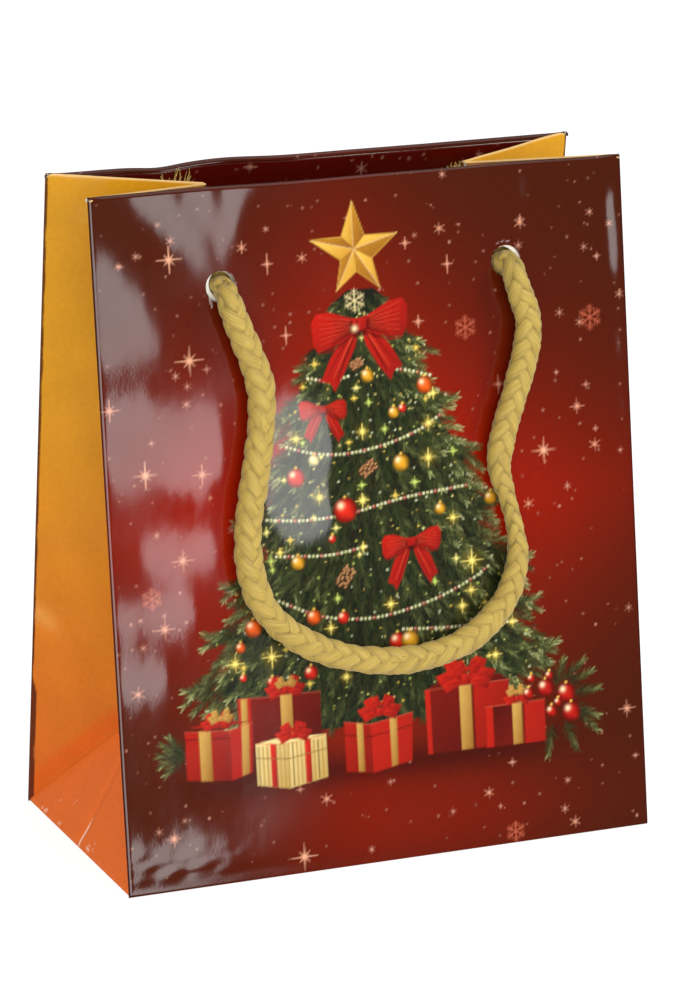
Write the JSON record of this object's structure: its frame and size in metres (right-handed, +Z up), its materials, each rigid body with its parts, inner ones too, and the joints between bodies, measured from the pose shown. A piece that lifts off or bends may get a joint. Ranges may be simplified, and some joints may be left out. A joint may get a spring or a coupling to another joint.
{
  "type": "gift bag",
  "caption": "Small glossy paper gift bag with printed walls, folded side gussets, a turned-in rim and knotted rope handles that swing up.",
  "frame": {"origin": "middle of the footprint, on the surface the bag stands on", "axes": "+Z up, +X across the front to the right as seen from the front, +Y from the front wall to the rear wall"},
  "size_m": [0.119, 0.0686, 0.1437],
  "materials": {
    "printed_paper": "gloss",
    "orange_paper": "satin",
    "maroon_paper": "satin",
    "white_card": "matte",
    "grey_card": "matte",
    "khaki_rope": "matte"
  },
  "bodies": {
    "bag_base": {"base_flap_front": "maroon_paper", "base_flap_rear": "maroon_paper", "base_flap_left": "orange_paper", "base_flap_right": "orange_paper", "base_card": "grey_card", "left_base_web": "orange_paper", "right_base_web": "orange_paper", "left_gusset_front": "orange_paper", "left_gusset_rear": "orange_paper", "right_gusset_front": "orange_paper", "right_gusset_rear": "orange_paper", "left_gusset_hem_front": "orange_paper", "left_gusset_hem_rear": "orange_paper", "right_gusset_hem_front": "orange_paper", "right_gusset_hem_rear": "orange_paper"},
    "front_wall": {"front_panel": "printed_paper", "front_rim_card": "white_card", "front_hem": "maroon_paper", "front_knot_left": "khaki_rope", "front_knot_right": "khaki_rope"},
    "rear_wall": {"rear_panel": "printed_paper", "rear_rim_card": "white_card", "rear_hem": "maroon_paper", "rear_knot_left": "khaki_rope", "rear_knot_right": "khaki_rope", "seam_tab": "maroon_paper"},
    "front_handle": {"front_handle_rope": "khaki_rope"},
    "rear_handle": {"rear_handle_rope": "khaki_rope"}
  },
  "joints": [
    {"name": "front_wall_fold", "type": "hinge", "parent": "bag_base", "child": "front_wall", "pos_m": [0, -0.033, 0], "axis": [1, 0, 0], "range_deg": [-2.5, 5], "deforming": ["left_gusset_front", "right_gusset_front", "left_gusset_hem_front", "right_gusset_hem_front"]},
    {"name": "rear_wall_fold", "type": "hinge", "parent": "bag_base", "child": "rear_wall", "pos_m": [0, 0.033, 0], "axis": [-1, 0, 0], "range_deg": [-2.5, 5], "deforming": ["left_gusset_rear", "right_gusset_rear", "left_gusset_hem_rear", "right_gusset_hem_rear"]},
    {"name": "front_handle_swing", "type": "hinge", "parent": "front_wall", "child": "front_handle", "pos_m": [0, -0.01981, 0.12395], "axis": [-1, 0, 0], "range_deg": [0, 176]},
    {"name": "rear_handle_swing", "type": "hinge", "parent": "rear_wall", "child": "rear_handle", "pos_m": [0, 0.01981, 0.12395], "axis": [1, 0, 0], "range_deg": [0, 176]}
  ]
}
